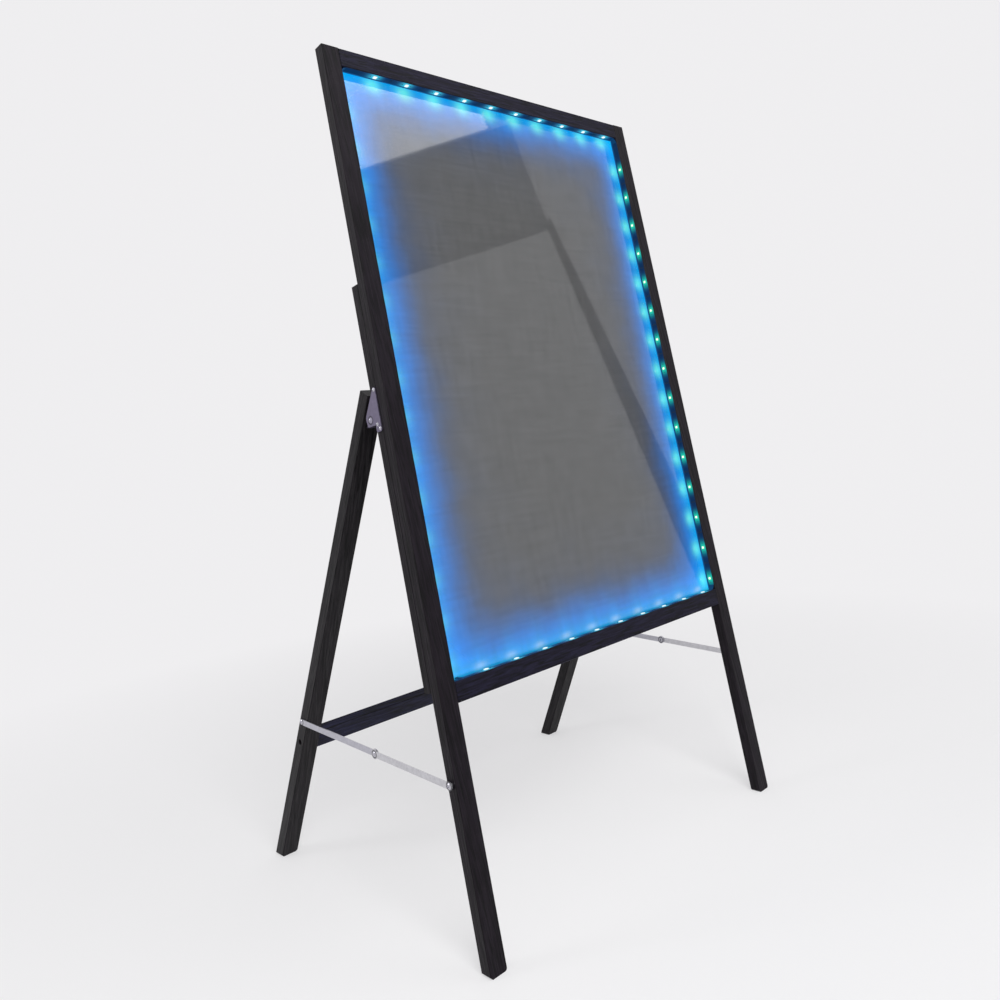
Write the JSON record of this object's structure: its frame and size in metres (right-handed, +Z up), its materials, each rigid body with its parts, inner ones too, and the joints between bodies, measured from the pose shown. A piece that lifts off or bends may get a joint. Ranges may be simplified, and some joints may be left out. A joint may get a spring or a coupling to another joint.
{
  "type": "led writing board",
  "caption": "Folding timber easel with a glazed writing panel lit from its edges by a lamp tape, with rear legs on riveted hinges and folding side stays.",
  "frame": {"origin": "on the floor under the middle of the open stand's footprint box", "axes": "+X to the viewer's right, +Y from the front to the back, +Z up"},
  "size_m": [0.6532, 0.5528, 1.2277],
  "materials": {
    "black_timber": "black satin paint with the grain showing through",
    "bare_timber": "bare beech dowel",
    "clear_sheet": "clear gloss acrylic",
    "backing": "grey linen-faced hardboard",
    "tape": "dark flexible circuit tape",
    "lamps": "lit lamp packages",
    "ribbon": "flat insulated leads",
    "black_plastic": "fine-textured moulding",
    "inlet_plastic": "moulded socket with a metal pin",
    "circuit_board": "green solder mask",
    "zinc_plate": "zinc-plated pressed steel",
    "steel_fasteners": "zinc-plated screws and rivets",
    "button_plastic": "soft grey button"
  },
  "bodies": {
    "front_frame": {"left_stile": "black_timber", "right_stile": "black_timber", "top_rail": "black_timber", "bottom_rail": "black_timber", "frame_dowels": "bare_timber", "writing_sheet": "clear_sheet", "backing_board": "backing", "board_screws": "steel_fasteners", "left_back_batten": "black_timber", "right_back_batten": "black_timber", "batten_screws": "steel_fasteners", "led_tape_bottom": "tape", "led_tape_right": "tape", "led_tape_top": "tape", "led_tape_left": "tape", "leds_bottom": "lamps", "leds_right": "lamps", "leds_top": "lamps", "leds_left": "lamps", "corner_jumpers": "ribbon", "supply_ribbon": "ribbon", "controller_case": "black_plastic", "controller_lid": "black_plastic", "controller_board": "circuit_board", "controller_screws": "steel_fasteners", "dc_inlet": "inlet_plastic", "left_frame_bracket": "zinc_plate", "right_frame_bracket": "zinc_plate", "frame_bracket_screws": "steel_fasteners", "hinge_rivets": "steel_fasteners", "hinge_bushes": "steel_fasteners", "stay_front_screws": "steel_fasteners", "stay_spacers": "steel_fasteners"},
    "rear_legs": {"left_rear_leg": "black_timber", "right_rear_leg": "black_timber", "rear_crossbar": "black_timber", "crossbar_screws": "steel_fasteners", "left_leg_bracket": "zinc_plate", "right_leg_bracket": "zinc_plate", "leg_bracket_screws": "steel_fasteners", "stay_rear_screws": "steel_fasteners"},
    "left_front_stay": {"left_front_stay": "zinc_plate", "left_stay_rivet": "steel_fasteners"},
    "left_rear_stay": {"left_rear_stay": "zinc_plate"},
    "right_front_stay": {"right_front_stay": "zinc_plate", "right_stay_rivet": "steel_fasteners"},
    "right_rear_stay": {"right_rear_stay": "zinc_plate"},
    "mode_button": {"mode_button": "button_plastic"}
  },
  "joints": [
    {"name": "leg_fold", "type": "hinge", "parent": "front_frame", "child": "rear_legs", "pos_m": [0, -0.12364, 0.69921], "axis": [-1, 0, 0], "range_deg": [0, 36]},
    {"name": "mode_press", "type": "slide", "parent": "front_frame", "child": "mode_button", "axis": [0, -0.9877, 0.1564], "range_m": [0, 0.0008], "stiffness_N_per_m": 400, "springref_m": -0.002},
    {"name": "left_front_stay_turn", "type": "hinge", "parent": "front_frame", "child": "left_front_stay", "pos_m": [-0.32385, -0.22992, 0.22956], "axis": [1, 0, 0], "range_deg": [0, 61]},
    {"name": "left_rear_stay_turn", "type": "hinge", "parent": "rear_legs", "child": "left_rear_stay", "pos_m": [-0.32205, 0.14376, 0.2438], "axis": [-1, 0, 0], "range_deg": [0, 63]},
    {"name": "right_front_stay_turn", "type": "hinge", "parent": "front_frame", "child": "right_front_stay", "pos_m": [0.32385, -0.22992, 0.22956], "axis": [1, 0, 0], "range_deg": [0, 61]},
    {"name": "right_rear_stay_turn", "type": "hinge", "parent": "rear_legs", "child": "right_rear_stay", "pos_m": [0.32205, 0.14376, 0.2438], "axis": [-1, 0, 0], "range_deg": [0, 63]}
  ],
  "couplings": [
    {"joint": "left_front_stay_turn", "follows": "leg_fold", "ratio": 1.6684},
    {"joint": "left_rear_stay_turn", "follows": "leg_fold", "ratio": 1.7412},
    {"joint": "right_front_stay_turn", "follows": "leg_fold", "ratio": 1.6684},
    {"joint": "right_rear_stay_turn", "follows": "leg_fold", "ratio": 1.7412}
  ]
}
